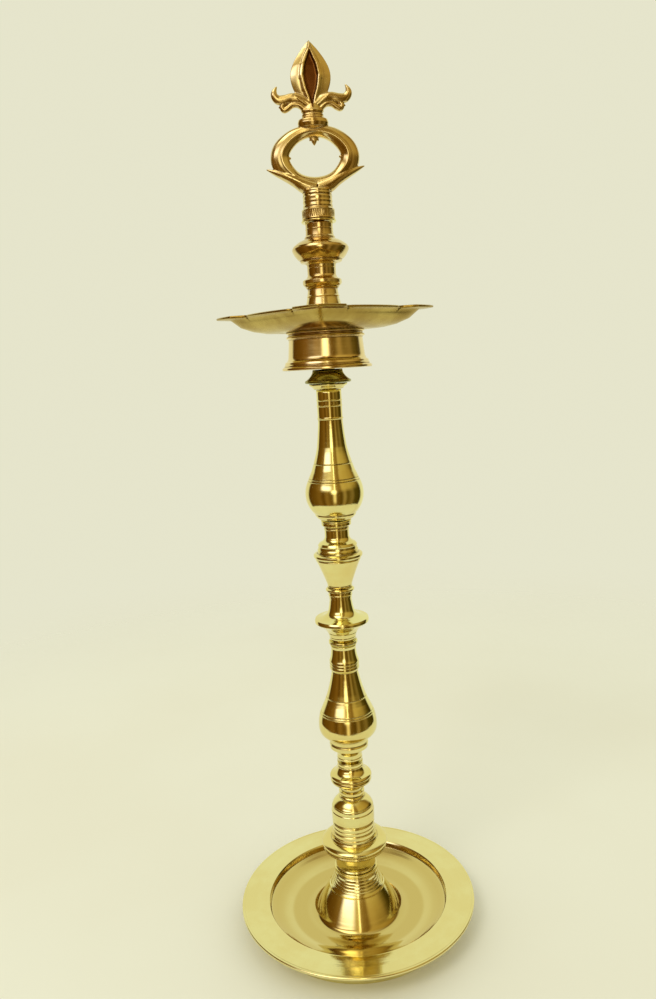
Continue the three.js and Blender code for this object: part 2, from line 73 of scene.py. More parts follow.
def add_object(name, vertices, faces):
    mesh = bpy.data.meshes.new(name)
    mesh.from_pydata([tuple(v) for v in vertices], [], faces)
    mesh.update()
    mesh.shade_smooth()
    piece = bpy.data.objects.new(name, mesh)
    bpy.context.scene.collection.objects.link(piece)
    return piece


def directions(sides):
    """Cosine and sine of each direction round a ring."""
    angles = [2 * math.pi * i / sides for i in range(sides)]
    return [(math.cos(angle), math.sin(angle)) for angle in angles]


def join_rings(count, sides, closed=False, first=0):
    """Faces between neighbouring rings of vertices, and from the last ring to the first if closed."""
    faces = []
    for k in range(count if closed else count - 1):
        here, above = first + k * sides, first + (k + 1) % count * sides
        for i in range(sides):
            j = (i + 1) % sides
            faces.append((here + i, here + j, above + j, above + i))
    return faces


def finish_piece(piece, node, slot, normals=None):
    """Scales a piece to metres, gives it its finish, and lets it stand for its CAD node."""
    piece.data.transform(Matrix.Scale(MM, 4))
    piece.data.materials.append(FINISHES[slot])
    if normals is not None:
        piece.data.normals_split_custom_set_from_vertices(normals)
    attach(piece, BODY_OF[node])
    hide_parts(node)


def point_values(piece, name, values):
    """Stores one number a vertex, which the materials read."""
    layer = piece.data.attributes.new(name, "FLOAT", "POINT")
    layer.data.foreach_set("value", np.asarray(values, np.float32))


# ---- Turned pieces ----


def trace(path, steps=10):
    """Points along a path of (r, z) corners and (control r, control z, r, z) curves."""
    points = [np.array(path[0], float)]
    for step in path[1:]:
        end = np.array(step[-2:], float)
        if len(step) == 4:
            start, control = points[-1], np.array(step[:2], float)
            for i in range(1, steps):
                t = i / steps
                points.append((1 - t) ** 2 * start + 2 * t * (1 - t) * control + t * t * end)
        points.append(end)
    return points


def round_corners(points):
    """Rounds each crisp corner, which gives turned edges their highlights."""
    longest_share = 0.42  # of a neighbouring step, so that two fillets never meet
    rounded = [points[0]]
    for before, corner, after in zip(points, points[1:], points[2:]):
        back, ahead = before - corner, after - corner
        back_length, ahead_length = np.linalg.norm(back), np.linalg.norm(ahead)
        cosine = -np.dot(back, ahead) / (back_length * ahead_length)
        if cosine > math.cos(CRISP):
            rounded.append(corner)
            continue
        cut = min(FILLET, longest_share * back_length, longest_share * ahead_length)
        start = corner + back / back_length * cut
        end = corner + ahead / ahead_length * cut
        for t in (0, 0.25, 0.5, 0.75, 1):
            rounded.append((1 - t) ** 2 * start + 2 * t * (1 - t) * corner + t * t * end)
    rounded.append(points[-1])
    return rounded


def cut_details(points, details):
    """Adds grooves and beads: each detail is (height, depth, half width), a groove's depth negative."""
    steps = (-1, -0.75, -0.5, -0.25, 0, 0.25, 0.5, 0.75, 1)
    dense = [points[0]]
    for start, end in zip(points, points[1:]):
        rise = end[1] - start[1]
        cuts = []
        if abs(rise) > 1e-6:
            heights = [z + k * half for z, _, half in details for k in steps]
            cuts = sorted(t for t in ((h - start[1]) / rise for h in heights) if 0.001 < t < 0.999)
        dense += [start + (end - start) * t for t in cuts] + [end]
    for point in dense:
        for z, depth, half in details:
            u = (point[1] - z) / half
            if abs(u) < 1:
                point[0] += depth * (1 - u * u) ** 2
    return dense


def split_long(points, longest=3.0):
    """Adds points so that no step is longer than a few millimetres."""
    fine = [points[0]]
    for start, end in zip(points, points[1:]):
        count = max(1, math.ceil(np.linalg.norm(end - start) / longest))
        fine += [start + (end - start) * (i / count) for i in range(1, count + 1)]
    return fine


def bends(points, reach=0.9):
    """How concave (positive) or convex (negative) an outline is near each point, in right angles."""
    steps = np.diff(points, axis=0)
    angles = np.arctan2(steps[:, 1], steps[:, 0])
    turns = (np.diff(angles) + math.pi) % (2 * math.pi) - math.pi
    at = np.concatenate([[0], np.cumsum(np.linalg.norm(steps, axis=1))])
    values = np.zeros(len(points))
    for i in range(len(points)):
        near = np.clip(1 - np.abs(at[1:-1] - at[i]) / reach, 0, 1)
        values[i] = -np.sum(near * turns) / (math.pi / 2)
    return values


def outline_normals(points):
    """Outward normals that lean to the longer neighbouring step, so flats stay flat beside a fillet."""
    steps = np.diff(points, axis=0)
    weighted = steps * np.linalg.norm(steps, axis=1)[:, None]
    total = np.zeros((len(points), 2))
    total[:-1] += weighted
    total[1:] += weighted
    normals = np.stack([total[:, 1], -total[:, 0]], axis=1)
    return normals / np.maximum(np.linalg.norm(normals, axis=1), 1e-9)[:, None]


def full_outline(outer, details, bores, hole, under):
    """The whole (r, z) outline of a turned piece, from its rough one."""
    points = cut_details(round_corners(trace(outer)), list(details))
    if under is not None:
        points += round_corners(trace(under))
    points = split_long(points)
    bottom, top = points[0][1], points[-1][1]
    if hole is not None:
        points += [np.array([hole, top]), np.array([hole, bottom])]
    if bores[0]:
        radius, depth = bores[0]
        points = [np.array([radius, bottom + depth]), np.array([radius, bottom])] + points
    if bores[1]:
        radius, depth = bores[1]
        points += [np.array([radius, top]), np.array([radius, top - depth])]
    return np.array(points)


def lathe(
    name, outer, node, slot="stem_brass", sides=TURN_SIDES, details=(), bores=(None, None), hole=None,
    under=None, relief=None,
):
    """Revolves an outline into a finished piece.

    bores are blind (radius, depth) holes in the bottom and the top; hole is the radius of one that goes
    through. under is the rest of a closed outline, from its top inside to its bottom. relief(angles, z)
    moves the surface out.
    """
    base = bottom_of(node)
    profile = full_outline(outer, details, bores, hole, under)
    closed = hole is not None or under is not None
    ring = np.vstack([profile[-1], profile, profile[0]]) if closed else profile
    normals = outline_normals(ring)
    hollows = bends(ring)
    if closed:
        normals, hollows = normals[1:-1], hollows[1:-1]
    angles = np.arange(sides) * 2 * math.pi / sides
    cos, sin = np.cos(angles), np.sin(angles)
    vertices, vertex_normals, shade = [], [], []
    for (radius, z), (out, up), hollow in zip(profile, normals, hollows):
        radii = np.full(sides, radius)
        if relief is not None:
            radii = radii + relief(angles, z)
        vertices += list(zip(radii * cos, radii * sin, np.full(sides, z + base)))
        vertex_normals += list(zip(out * cos, out * sin, np.full(sides, up)))
        shade += [hollow] * sides
    count = len(profile)
    faces = join_rings(count, sides, closed)
    if not closed:
        ends = ((profile[0][1], 0, True, -1), (profile[-1][1], (count - 1) * sides, False, 1))
        for z, start, flip, up in ends:
            centre = len(vertices)
            vertices.append((0, 0, z + base))
            vertex_normals.append((0, 0, up))
            shade.append(0)
            for i in range(sides):
                j = (i + 1) % sides
                faces.append((start + j, start + i, centre) if flip else (start + i, start + j, centre))
    piece = add_object(name, vertices, faces)
    point_values(piece, "hollow", shade)
    finish_piece(piece, node, slot, None if relief is not None else vertex_normals)


THREAD_SIDES = 32
THREAD_CHAMFER = 1.0
THREAD_DEPTH = 0.61  # share of the pitch, as metric threads have
THREAD_FLANK = 1.15  # above 1, so that the root is flat
RINGS_PER_TURN = 8
M10_PITCH, M8_PITCH = 1.5, 1.25


def threaded_rod(name, node, pitch):
    """A stud with a cut thread, as long and as wide as its CAD rod."""
    low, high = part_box(node)
    radius = (high.x - low.x) / 2 / MM
    bottom, top = low.z / MM, high.z / MM
    rings = int((top - bottom) / (pitch / RINGS_PER_TURN))
    vertices = []
    for k in range(rings + 1):
        z = bottom + (top - bottom) * k / rings
        widest = radius - max(0, THREAD_CHAMFER - min(z - bottom, top - z))
        for i, (cos, sin) in enumerate(directions(THREAD_SIDES)):
            phase = (z / pitch - i / THREAD_SIDES) % 1
            thread = radius - THREAD_DEPTH * pitch * min(1, abs(2 * phase - 1) * THREAD_FLANK)
            r = min(widest, thread)
            vertices.append((r * cos, r * sin, z))
    faces = join_rings(rings + 1, THREAD_SIDES)
    faces.append(tuple(range(THREAD_SIDES))[::-1])
    faces.append(tuple(rings * THREAD_SIDES + i for i in range(THREAD_SIDES)))
    finish_piece(add_object(name, vertices, faces), node, "thread_brass")


# ---- Finishes ----


def rgb(*values):
    return (*values, 1.0)


class Nodes:
    """Short calls for building a material's or the world's nodes."""

    def __init__(self, owner):
        owner.use_nodes = True
        self.tree = owner.node_tree
        self.tree.nodes.clear()

    def node(self, kind, inputs=None, **settings):
        made = self.tree.nodes.new(kind)
        for key, value in settings.items():
            setattr(made, key, value)
        for key, value in (inputs or {}).items():
            self.put(made.inputs[key], value)
        return made

    def put(self, socket, value):
        if isinstance(value, bpy.types.NodeSocket):
            self.tree.links.new(value, socket)
        else:
            socket.default_value = value

    def math(self, operation, a, b=0.0, c=0.0):
        return self.node("ShaderNodeMath", {0: a, 1: b, 2: c}, operation=operation).outputs[0]

    def blend(self, share, low, high):
        return self.node("ShaderNodeMix", {0: share, 6: low, 7: high}, data_type="RGBA").outputs[2]

    def between(self, value, low, high, out_low=0.0, out_high=1.0):
        inputs = {"Value": value, "From Min": low, "From Max": high, "To Min": out_low, "To Max": out_high}
        return self.node("ShaderNodeMapRange", inputs, interpolation_type="SMOOTHSTEP").outputs["Result"]


class Finish(Nodes):
    """One material, with its shader in place."""

    def __init__(self, name):
        self.material = bpy.data.materials.new(name)
        super().__init__(self.material)
        self.shader = self.node("ShaderNodeBsdfPrincipled")
        self.output = self.node("ShaderNodeOutputMaterial", {"Surface": self.shader.outputs["BSDF"]})

    def noise(self, vector, scale, detail=3.0, roughness=0.5):
        inputs = {"Vector": vector, "Scale": scale, "Detail": detail, "Roughness": roughness}
        return self.node("ShaderNodeTexNoise", inputs).outputs["Fac"]

    def stored(self, name):
        """A number that the mesh stores at each vertex."""
        return self.node("ShaderNodeAttribute", attribute_name=name).outputs["Fac"]

    def place(self):
        return self.node("ShaderNodeTexCoord").outputs["Object"]

    def turning(self, place):
        """Distance from the lamp's axis and height, so that a texture on it runs round in rings."""
        split = self.node("ShaderNodeSeparateXYZ", {0: place})
        across = self.math("POWER", split.outputs["X"], 2.0)
        along = self.math("POWER", split.outputs["Y"], 2.0)
        radius = self.math("SQRT", self.math("ADD", across, along))
        return self.node("ShaderNodeCombineXYZ", {"X": radius, "Z": split.outputs["Z"]}).outputs[0], radius

    def paint_well_reflection(self, tint, well, ringed, radius):
        """Painted reflection: a browner colour in the base's well, in broad rings, standing in for the
        darker surroundings that the well's floor reflects.
        """
        inside = self.between(radius, 0.0660, 0.0635)  # metres from the axis: the wall of the well
        outside = self.between(radius, 0.019, 0.025)  # and the foot of its cone
        rings = self.between(self.noise(ringed, 75.0, 2.0), 0.36, 0.62, 0.5, 1.0)
        share = self.math("MULTIPLY", self.math("MULTIPLY", inside, outside), rings)
        return self.blend(share, tint, rgb(*well))

    def bump(self, inputs):
        self.put(self.shader.inputs["Normal"], self.node("ShaderNodeBump", inputs).outputs[0])


GRIME = rgb(0.16, 0.075, 0.02)  # tarnish that polishing leaves in corners
STAIN = rgb(0.17, 0.062, 0.014)  # darker tarnish in the leaf's panel


def brass(
    name, colour, deep, roughness, grime=0.8, rings=1.0, dents=1.0, mottle=0.5, well=None, stained=False
):
    """Turned or cast brass: clouds of a deeper colour, tarnish in hollows, turning marks, faint dents."""
    n = Finish(name)
    place = n.place()
    ringed, radius = n.turning(place)
    clouds = n.between(n.noise(place, 32.0, 4.0, 0.6), 0.38, 0.62)
    bands = n.between(n.noise(ringed, 160.0, 2.0), 0.35, 0.7)
    spots = n.between(n.noise(place, 240.0, 3.0, 0.7), 0.42, 0.62)
    hollows = n.between(n.stored("hollow"), 0.12, 0.75)
    dirt = n.math("MULTIPLY", hollows, n.between(spots, 0.0, 1.0, 0.55, 1.0))
    tint = n.blend(n.math("MULTIPLY", clouds, mottle), rgb(*colour), rgb(*deep))
    tint = n.blend(n.math("MULTIPLY", bands, 0.22), tint, rgb(*deep))
    if well is not None:
        # painted reflection: the well's floor is browned in place of the darker reflection it shows
        tint = n.paint_well_reflection(tint, well, ringed, radius)
    if stained:
        tint = n.blend(n.stored("stain"), tint, STAIN)
    tint = n.blend(n.math("MULTIPLY", dirt, grime), tint, GRIME)
    n.put(n.shader.inputs["Base Color"], tint)
    n.shader.inputs["Metallic"].default_value = 1.0
    gloss = n.between(n.noise(place, 55.0, 3.0), 0.3, 0.75, roughness * 0.75, roughness * 1.35)
    gloss = n.math("ADD", gloss, n.math("MULTIPLY", dirt, 0.3))
    n.put(n.shader.inputs["Roughness"], gloss)
    scratches = n.noise(ringed, 1500.0, 2.0)
    chatter = n.noise(ringed, 210.0, 2.0)
    hammering = n.noise(place, 85.0, 2.0)
    height = n.math("MULTIPLY", scratches, 0.010 * rings)
    height = n.math("MULTIPLY_ADD", chatter, 0.085 * rings, height)
    height = n.math("MULTIPLY_ADD", hammering, 0.07 * dents, height)
    n.bump({"Height": height, "Strength": 1.0, "Distance": 0.001})
    return n.material


def steel_finish():
    """Bright zinc on the nut and washer under the base, dulled in patches."""
    n = Finish("zinc_steel")
    place = n.place()
    patches = n.between(n.noise(place, 180.0, 4.0, 0.65), 0.35, 0.7)
    tint = n.blend(patches, rgb(0.56, 0.56, 0.54), rgb(0.36, 0.35, 0.31))
    n.put(n.shader.inputs["Base Color"], tint)
    n.shader.inputs["Metallic"].default_value = 1.0
    n.put(n.shader.inputs["Roughness"], n.between(patches, 0.0, 1.0, 0.3, 0.52))
    n.bump({"Height": n.noise(place, 900.0), "Strength": 0.5, "Distance": 0.0002})
    return n.material


def leather_finish():
    """Oil-darkened leather: a pebbled grain with paler worn tops."""
    n = Finish("oiled_leather")
    place = n.place()
    cells = n.node("ShaderNodeTexVoronoi", {"Vector": place, "Scale": 1500.0}).outputs["Distance"]
    oiled = n.between(n.noise(place, 130.0, 4.0), 0.3, 0.75)
    tint = n.blend(oiled, rgb(0.10, 0.052, 0.024), rgb(0.035, 0.018, 0.009))
    tint = n.blend(n.between(cells, 0.0, 0.35, 0.35, 0.0), tint, rgb(0.2, 0.12, 0.06))
    n.put(n.shader.inputs["Base Color"], tint)
    n.put(n.shader.inputs["Roughness"], n.between(oiled, 0.0, 1.0, 0.75, 0.5))
    n.bump({"Height": cells, "Strength": 0.7, "Distance": 0.0004, "Filter Width": 1.0})
    return n.material


BRASSES = {
    "stem_brass": dict(colour=(0.86, 0.80, 0.37), deep=(0.78, 0.61, 0.22), roughness=0.10),
    "base_brass": dict(
        colour=(0.86, 0.80, 0.42), deep=(0.80, 0.68, 0.30), roughness=0.10, dents=0.6,
        # well: colour of the painted darker reflection in the base's well
        well=(0.66, 0.53, 0.20),
    ),
    "collar_brass": dict(colour=(0.34, 0.32, 0.08), deep=(0.24, 0.21, 0.045), roughness=0.2),
    "drum_brass": dict(colour=(0.86, 0.70, 0.36), deep=(0.74, 0.52, 0.22), roughness=0.14),
    "plate_brass": dict(
        colour=(0.58, 0.44, 0.12), deep=(0.36, 0.235, 0.045), roughness=0.24, rings=0.3, dents=1.5,
        mottle=0.8,
    ),
    "finial_brass": dict(
        colour=(0.85, 0.73, 0.40), deep=(0.66, 0.48, 0.20), roughness=0.16, grime=0.6, rings=0.2, dents=1.2,
        mottle=0.8, stained=True,
    ),
    "thread_brass": dict(colour=(0.70, 0.52, 0.22), deep=(0.48, 0.32, 0.12), roughness=0.3),
}
FINISHES = {slot: brass(slot, **look) for slot, look in BRASSES.items()}
FINISHES["steel"] = steel_finish()
FINISHES["leather"] = leather_finish()


# ---- Base ----

BASE_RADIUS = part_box("base_dish")[1].x / MM
BORE = 5.3  # clearance hole round an M10 stud
SMALL_BORE = 4.3  # and round an M8 stud
WELL_RADIUS = 64.9
WELL_WIDTH = 29.0  # from the wall in to where the floor turns up into the cone
WELL_FLOOR = 6.5
WELL_RISE = 6.6  # how much higher the floor is at the wall
WELL_DISH = 2.4  # how late the floor turns up towards the wall
WELL_STEPS = 48
WAVE_HEIGHT = 0.1
WAVE_RATE = 0.62  # radians a millimetre


def well_floor():
    """The dished floor between the rim and the cone, with the broad waves that hand turning leaves."""
    points = []
    for i in range(WELL_STEPS + 1):
        t = i / WELL_STEPS
        radius = WELL_RADIUS - WELL_WIDTH * t
        wave = WAVE_HEIGHT * math.sin(radius * WAVE_RATE)
        points.append((radius, WELL_FLOOR + WELL_RISE * (1 - t) ** WELL_DISH + wave))
    return points


lathe(
    "lamp_base",
    [
        (66.5, 0), (70.5, 0), (70.5, 12), (70.5, 15, 73.5, 15.2), (BASE_RADIUS - 1.2, 15.6),
        (BASE_RADIUS, 15.7, BASE_RADIUS, 16.8), (BASE_RADIUS, 18, BASE_RADIUS - 1.2, 18),
        (BASE_RADIUS - 1.9, 17.75), (BASE_RADIUS - 2.3, 17.95), (67.2, 17.85), (66.5, 18.0, 66.0, 17.5),
        (65.5, 16.6), (65.1, 13.4), *well_floor(), (31.9, 6.7, 30.3, 9.9), (25.5, 18.0, 20.5, 25.6),
        (20.5, 26.6), (19.5, 27.6), (16.5, 33.4, 15.6, 36.6), (14.9, 38.4),
    ],
    "base_dish",
    "base_brass",
    sides=WIDE_SIDES,
    details=[
        (37.2, -0.35, 0.5), (35.0, -0.35, 0.5), (33.1, -0.35, 0.5), (31.1, -0.35, 0.5), (29.3, -0.4, 0.5),
    ],
    under=[
        (BORE, 38.4), (BORE, 31.4), (13.4, 31.4), (17.4, 25), (29.6, 6), (31.8, 3.4, 38, 3.4),
        (52, 3.6, 63, 10.6), (66.5, 10.6),
    ],
)


def hex_nut(name, node, hole):
    """A nut with chamfered corners, made of loops round the axis."""
    low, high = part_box(node)
    flats, height, base = (high.y - low.y) / MM, (high.z - low.z) / MM, low.z / MM
    sides = 96
    edge, lead = 1.3, 0.6  # heights of the corners' chamfer and of the hole's
    end_radius = flats / 2 * 0.985  # of the round face that the chamfer leaves at each end
    # Each loop: its radius, or None for the hexagon, its height, and whether its corners are cut back.
    loops = [
        (hole + lead, 0, False), (None, 0, True), (None, edge, False), (None, height - edge, False),
        (None, height, True), (hole + lead, height, False), (hole, height - lead, False),
        (hole, lead, False),
    ]
    vertices = []
    for radius, z, chamfered in loops:
        for i in range(sides):
            angle = 2 * math.pi * i / sides
            folded = (angle + math.pi / 6) % (math.pi / 3) - math.pi / 6
            r = radius if radius is not None else flats / 2 / math.cos(folded)
            if chamfered:
                r = min(r, end_radius)
            vertices.append((r * math.sin(angle), r * math.cos(angle), z + base))
    faces = [face[::-1] for face in join_rings(len(loops), sides, closed=True)]
    nut = add_object(name, vertices, faces)
    nut.data.shade_flat()
    finish_piece(nut, node, "steel")


hex_nut("hex_nut", "base_nut", BORE)
lathe(
    "nut_washer", [(9.9, 0), (10.5, 0.3), (10.5, 1.3), (9.9, 1.6)], "base_washer", "steel", hole=BORE
)


# ---- Stem ----

KNURL_MIDDLE = 3.2  # height of the knurled band's middle above its piece's bottom
KNURL_HALF = 2.3
KNURL_DEPTH = 0.11
KNURL_RIBS = 52


def knurl(angles, z):
    """Upright ribs round the band that a hand grips to unscrew the finial."""
    share = max(0.0, 1 - abs(z - KNURL_MIDDLE) / KNURL_HALF)
    return KNURL_DEPTH * min(1.0, 4 * share) * np.cos(KNURL_RIBS * angles)


# Each section by its CAD node: its piece's name, outline, grooves and beads, bores or through hole.
DEEP, MIDDLING, SHALLOW = (BORE, 16), (BORE, 15), (SMALL_BORE, 13.4)
SECTIONS = {
    "base_ring": dict(name="base_bead", outer=[
        (14.8, 0), (16.5, 0.1, 16.1, 1.35), (16.3, 2.6, 14.8, 2.7),
    ], hole=BORE),
    "base_knop": dict(name="base_section", outer=[
        (14.9, 0), (15.2, 0.5), (14.6, 1.4), (14.1, 7.5, 15.4, 12.9), (15.9, 14.0), (21.9, 14.9),
        (23.3, 15.6), (23.4, 16.6), (22.8, 17.4), (23.9, 18.4), (24.15, 19.4), (23.9, 20.5),
        (21.4, 22.9, 17.2, 22.9), (16.5, 23.4, 16.2, 24.6), (16.0, 29.4), (15.4, 30.2),
        (15.2, 33.4, 15.3, 36.0), (14.9, 36.5), (15.5, 37.1), (15.7, 44.6), (15.3, 45.3),
        (15.6, 49.4, 12.6, 52.2), (10.8, 54.0, 9.2, 54.7), (9.0, 57),
    ], details=[
        (48.7, -0.35, 0.5), (29.5, -0.5, 0.55), (32.4, -0.35, 0.5), (35.4, -0.35, 0.5), (26.6, 0.35, 0.6),
        (10.6, -0.25, 0.5),
    ], bores=(DEEP, DEEP)),
    "lower_disc": dict(name="lower_disc_section", outer=[
        (8.8, 0), (9.3, 0.5), (9.3, 2.4), (7.9, 3.4), (8.0, 4.8), (8.5, 7.4, 10.2, 8.2), (10.4, 8.7),
        (13.2, 9.3), (14.6, 10.1), (14.9, 11.2), (14.6, 12.3), (14.1, 12.9), (14.9, 13.3), (15.2, 14.0),
        (15.1, 15.4, 14.0, 16.0), (9.8, 17.4, 9.1, 21.4), (9.3, 25.8),
    ], details=[
        (24.6, -0.3, 0.4), (22.2, 0.3, 0.5),
    ], hole=BORE),
    "lower_pear": dict(name="lower_pear_section", outer=[
        (9.2, 0), (9.0, 5.4), (9.6, 8.8, 12.8, 10.0), (13.8, 10.6), (14.0, 13.4), (13.3, 14.4),
        (14.0, 15.4), (14.0, 18.2), (15.3, 19.2), (20.6, 20.8, 21.0, 26.6), (21.3, 31.6, 19.6, 37.2),
        (17.8, 41.6, 16.0, 45.2), (14.2, 49.6, 13.0, 53.4), (10.8, 60.6, 9.3, 68.6), (10.5, 70.2),
        (10.5, 76.2), (9.7, 78.0, 9.2, 81), (8.9, 83.4, 8.8, 85.4), (9.5, 88.5),
    ], details=[
        (37.5, -0.4, 0.45), (39.1, -0.4, 0.45), (49.3, -0.4, 0.5), (72.3, -0.35, 0.45),
        (74.5, -0.35, 0.45), (3.0, -0.3, 0.45),
    ], bores=(DEEP, MIDDLING)),
    "middle_ring": dict(name="middle_bead", outer=[
        (9.5, 0), (10.5, 0.1, 10.2, 1.1), (10.4, 2.1, 9.5, 2.2),
    ], hole=BORE),
    "middle_disc": dict(name="middle_disc_section", outer=[
        (9.5, 0), (9.4, 3), (10.7, 8.4, 16.2, 11.8), (18.2, 12.9), (19.1, 13.7), (19.1, 15.2),
        (18.6, 16.4), (10.8, 16.8, 9.2, 21.8), (8.2, 25.4, 7.8, 30.0), (8.4, 34.8), (8.3, 35.5),
        (10.0, 36.4), (10.1, 37.4), (9.3, 38.0), (8.6, 38.6),
    ], details=[
        (33.2, 0.3, 0.5), (6.0, -0.25, 0.45),
    ], bores=(MIDDLING, (SMALL_BORE, 12))),
    "bead_knop": dict(name="bead_section", outer=[
        (8.8, 0), (8.6, 1.6), (9.0, 3), (11.6, 10.6, 15.2, 18.8), (15.7, 19.8), (15.3, 20.5),
        (16.4, 21.2), (17.1, 22.3), (17.1, 23.6), (16.2, 24.3), (14.3, 24.7), (14.0, 26.2), (14.3, 27.0),
        (13.7, 27.8), (13.4, 29.4), (13.7, 30.2), (12.5, 31.8), (9.0, 33.2, 8.5, 36.2), (8.5, 43),
        (10.3, 44.2), (10.5, 48.3),
    ], details=[
        (41.5, 0.4, 0.6), (46.3, -0.35, 0.45),
    ], bores=(SHALLOW, SHALLOW)),
    "upper_pear": dict(name="upper_pear_section", outer=[
        (11.4, 0), (13.4, 1.4, 14.2, 3.0), (14.3, 4.0), (15.2, 4.8), (19.6, 9.8, 20.1, 16.4),
        (20.4, 21.6, 18.2, 26.4), (16.5, 30.2, 14.8, 34.0), (13.4, 38.2, 12.2, 42.2),
        (10.9, 46.6, 10.2, 50.2), (9.2, 57.6, 8.5, 66.0), (8.4, 68.0), (8.8, 69.0), (8.5, 70.0),
        (8.5, 88.4),
    ], details=[
        (27.0, -0.42, 0.45), (28.6, -0.42, 0.45), (38.7, -0.42, 0.5), (77.5, 0.42, 0.55),
        (81.2, 0.42, 0.55), (68.9, 0.3, 0.6),
    ], bores=(SHALLOW, MIDDLING)),
    "plate_ring": dict(name="plate_bead", outer=[
        (9.9, 0), (10.8, 1.2), (12.7, 2.5), (13.0, 3.0), (12.8, 3.8),
    ], hole=BORE),
    "plate_collar": dict(name="bell_collar", outer=[
        (14.9, 0), (15.5, 0.4), (15.7, 1.2), (15.3, 1.9), (14.4, 2.3), (11.2, 4.6, 10.3, 7.2), (9.9, 9),
    ], hole=BORE, slot="collar_brass"),
    "plate_drum": dict(name="drum", outer=[
        (29.8, 0), (30.2, 0.5), (30.1, 1.6), (29.3, 2.3), (28.5, 2.6), (28.7, 3.2), (28.2, 3.9),
        (27.9, 5.2), (26.1, 6.0, 25.7, 8.4), (25.2, 13.6, 24.7, 19.5), (25.0, 20.2), (26.1, 20.7),
        (26.3, 21.3), (25.9, 21.9), (24.9, 22.2), (24.9, 23.2), (26.0, 23.8), (26.1, 24.6),
    ], under=[
        (BORE, 24.6), (BORE, 8.6), (0.3, 8.6), (0.3, 6.2), (BORE, 6.2), (BORE, 0), (10.4, 0),
        (10.4, 20.4), (22.3, 20.4), (23.3, 7.6), (27.6, 0),
    ], sides=144, slot="drum_brass"),
    "top_stem": dict(name="top_section", outer=[
        (13.4, 0), (12.2, 9.0, 11.2, 14.8), (10.6, 17.4), (10.9, 18.1), (10.4, 18.9), (9.8, 22.8),
        (10.9, 23.6), (11.0, 24.4), (12.4, 25.4), (12.9, 26.4), (12.8, 28.4), (12.2, 28.9),
        (9.8, 29.6, 9.4, 32), (9.5, 38.2), (10.4, 39.3), (13.4, 39.8), (13.8, 40.5), (13.3, 41.1),
        (14.9, 41.8), (17.0, 43.8, 18.2, 46.4), (18.6, 47.4), (18.6, 48.6), (17.9, 49.9),
        (15.2, 52.6, 10.6, 54.3), (9.9, 54.9), (10.1, 55.4), (9.2, 56.6), (8.8, 60.0, 9.0, 64.5),
    ], details=[
        (60.6, 0.22, 0.5), (36.2, -0.2, 0.4),
    ], bores=(DEEP, (SMALL_BORE, 14)), slot="finial_brass"),
    "finial_washer": dict(name="finial_bead", outer=[
        (10.9, 0), (11.4, 0.4), (11.4, 1.0), (10.9, 1.4),
    ], hole=SMALL_BORE),
    "finial_socket": dict(name="finial_socket_knurled", outer=[
        (10.4, 0), (10.9, 0.4), (10.6, 0.9), (10.6, 5.4), (10.9, 5.8), (10.4, 6.4), (9.8, 6.9),
        (9.5, 7.6), (9.8, 8.3), (9.5, 9.1), (9.4, 10.2), (9.8, 11.0), (9.5, 11.9), (9.5, 13.4),
        (9.6, 14.8),
    ], bores=((SMALL_BORE, 8.8), (2.5, 4.6)), slot="finial_brass", sides=KNURL_RIBS * 8, relief=knurl),
}
for node, section in SECTIONS.items():
    lathe(node=node, **section)

for joint in ("base", "middle", "plate", "top", "finial"):
    pitch = M8_PITCH if joint == "finial" else M10_PITCH
    threaded_rod(f"{joint}_thread", f"{joint}_stud", pitch)
for node in ("lower_stud", "bead_stud", "pear_stud", "ring_pin", "leaf_pin"):
    for slot in frame["nodes"][node].material_slots:
        slot.material = FINISHES["thread_brass"]


# ---- Wick plate ----

LIP_HALF_WIDTH = 16.3
LIP_RADIUS = 72.2
LIP_SIDE = 58.0  # how far out a spout's sides bow out most
LIP_SHOULDER = 61.0  # where they turn to its point
LIP_BULGE = 68.3
EDGE_DISTANCE = 48.8
EDGE_BOW = 2.2
NOTCH = 4.0
PLATE_RIM = 12.4
RIM_THICKNESS = 1.7
RIM_INSET = 0.9  # how far the walls stay inside the rim's edge
SPOUT_RISE = 0.15
SPOUT_HALF_ANGLE = 0.2
CHANNEL = 1.1  # how much deeper the wall is where a wick leaves through a spout
TARNISHED = 0.55  # how strongly the corner inside the rim keeps its tarnish


def curve(start, control, end, steps):
    """Points on a quadratic curve, without its last point."""
    start, control, end = (np.array(p, float) for p in (start, control, end))
    ts = np.arange(steps) / steps
    return [(1 - t) ** 2 * start + 2 * t * (1 - t) * control + t * t * end for t in ts]


def rim_outline():
    """The rim's edge from above: four bowed edges, and four notched spouts between them."""
    half = LIP_HALF_WIDTH
    near, far = half + NOTCH, EDGE_DISTANCE * math.sqrt(2) - half - NOTCH
    bowed = (EDGE_DISTANCE + 2 * EDGE_BOW) / math.sqrt(2)
    start = far + 3  # of a spout's side
    shoulder, point = (LIP_SHOULDER, half - 0.3), (LIP_RADIUS, 0)
    quarter = [
        *curve((near, -far), (bowed, -bowed), (far, -near), 28),
        *curve((far, -near), (far + 0.2, -half - 0.4), (start, -half), 12),
        *curve((start, -half), (LIP_SIDE, -half - 0.5), (shoulder[0], -shoulder[1]), 8),
        *curve((shoulder[0], -shoulder[1]), (LIP_BULGE, -half * 0.58), point, 16),
        *curve(point, (LIP_BULGE, half * 0.58), shoulder, 16),
        *curve(shoulder, (LIP_SIDE, half + 0.5), (start, half), 8),
        *curve((start, half), (far + 0.2, half + 0.4), (far, near), 12),
    ]
    points = []
    for corner in range(4):
        turn = corner * math.pi / 2
        cos, sin = math.cos(turn), math.sin(turn)
        points += [(x * cos - y * sin, x * sin + y * cos) for x, y in quarter]
    return np.array(points)


def square_radius(angles, edge, sharpness):
    """Radius of a square with rounded corners on the axes; more sharpness makes tighter corners."""
    across = np.abs(np.cos(angles + math.pi / 4)) ** sharpness
    along = np.abs(np.sin(angles + math.pi / 4)) ** sharpness
    return edge / (across + along) ** (1 / sharpness)


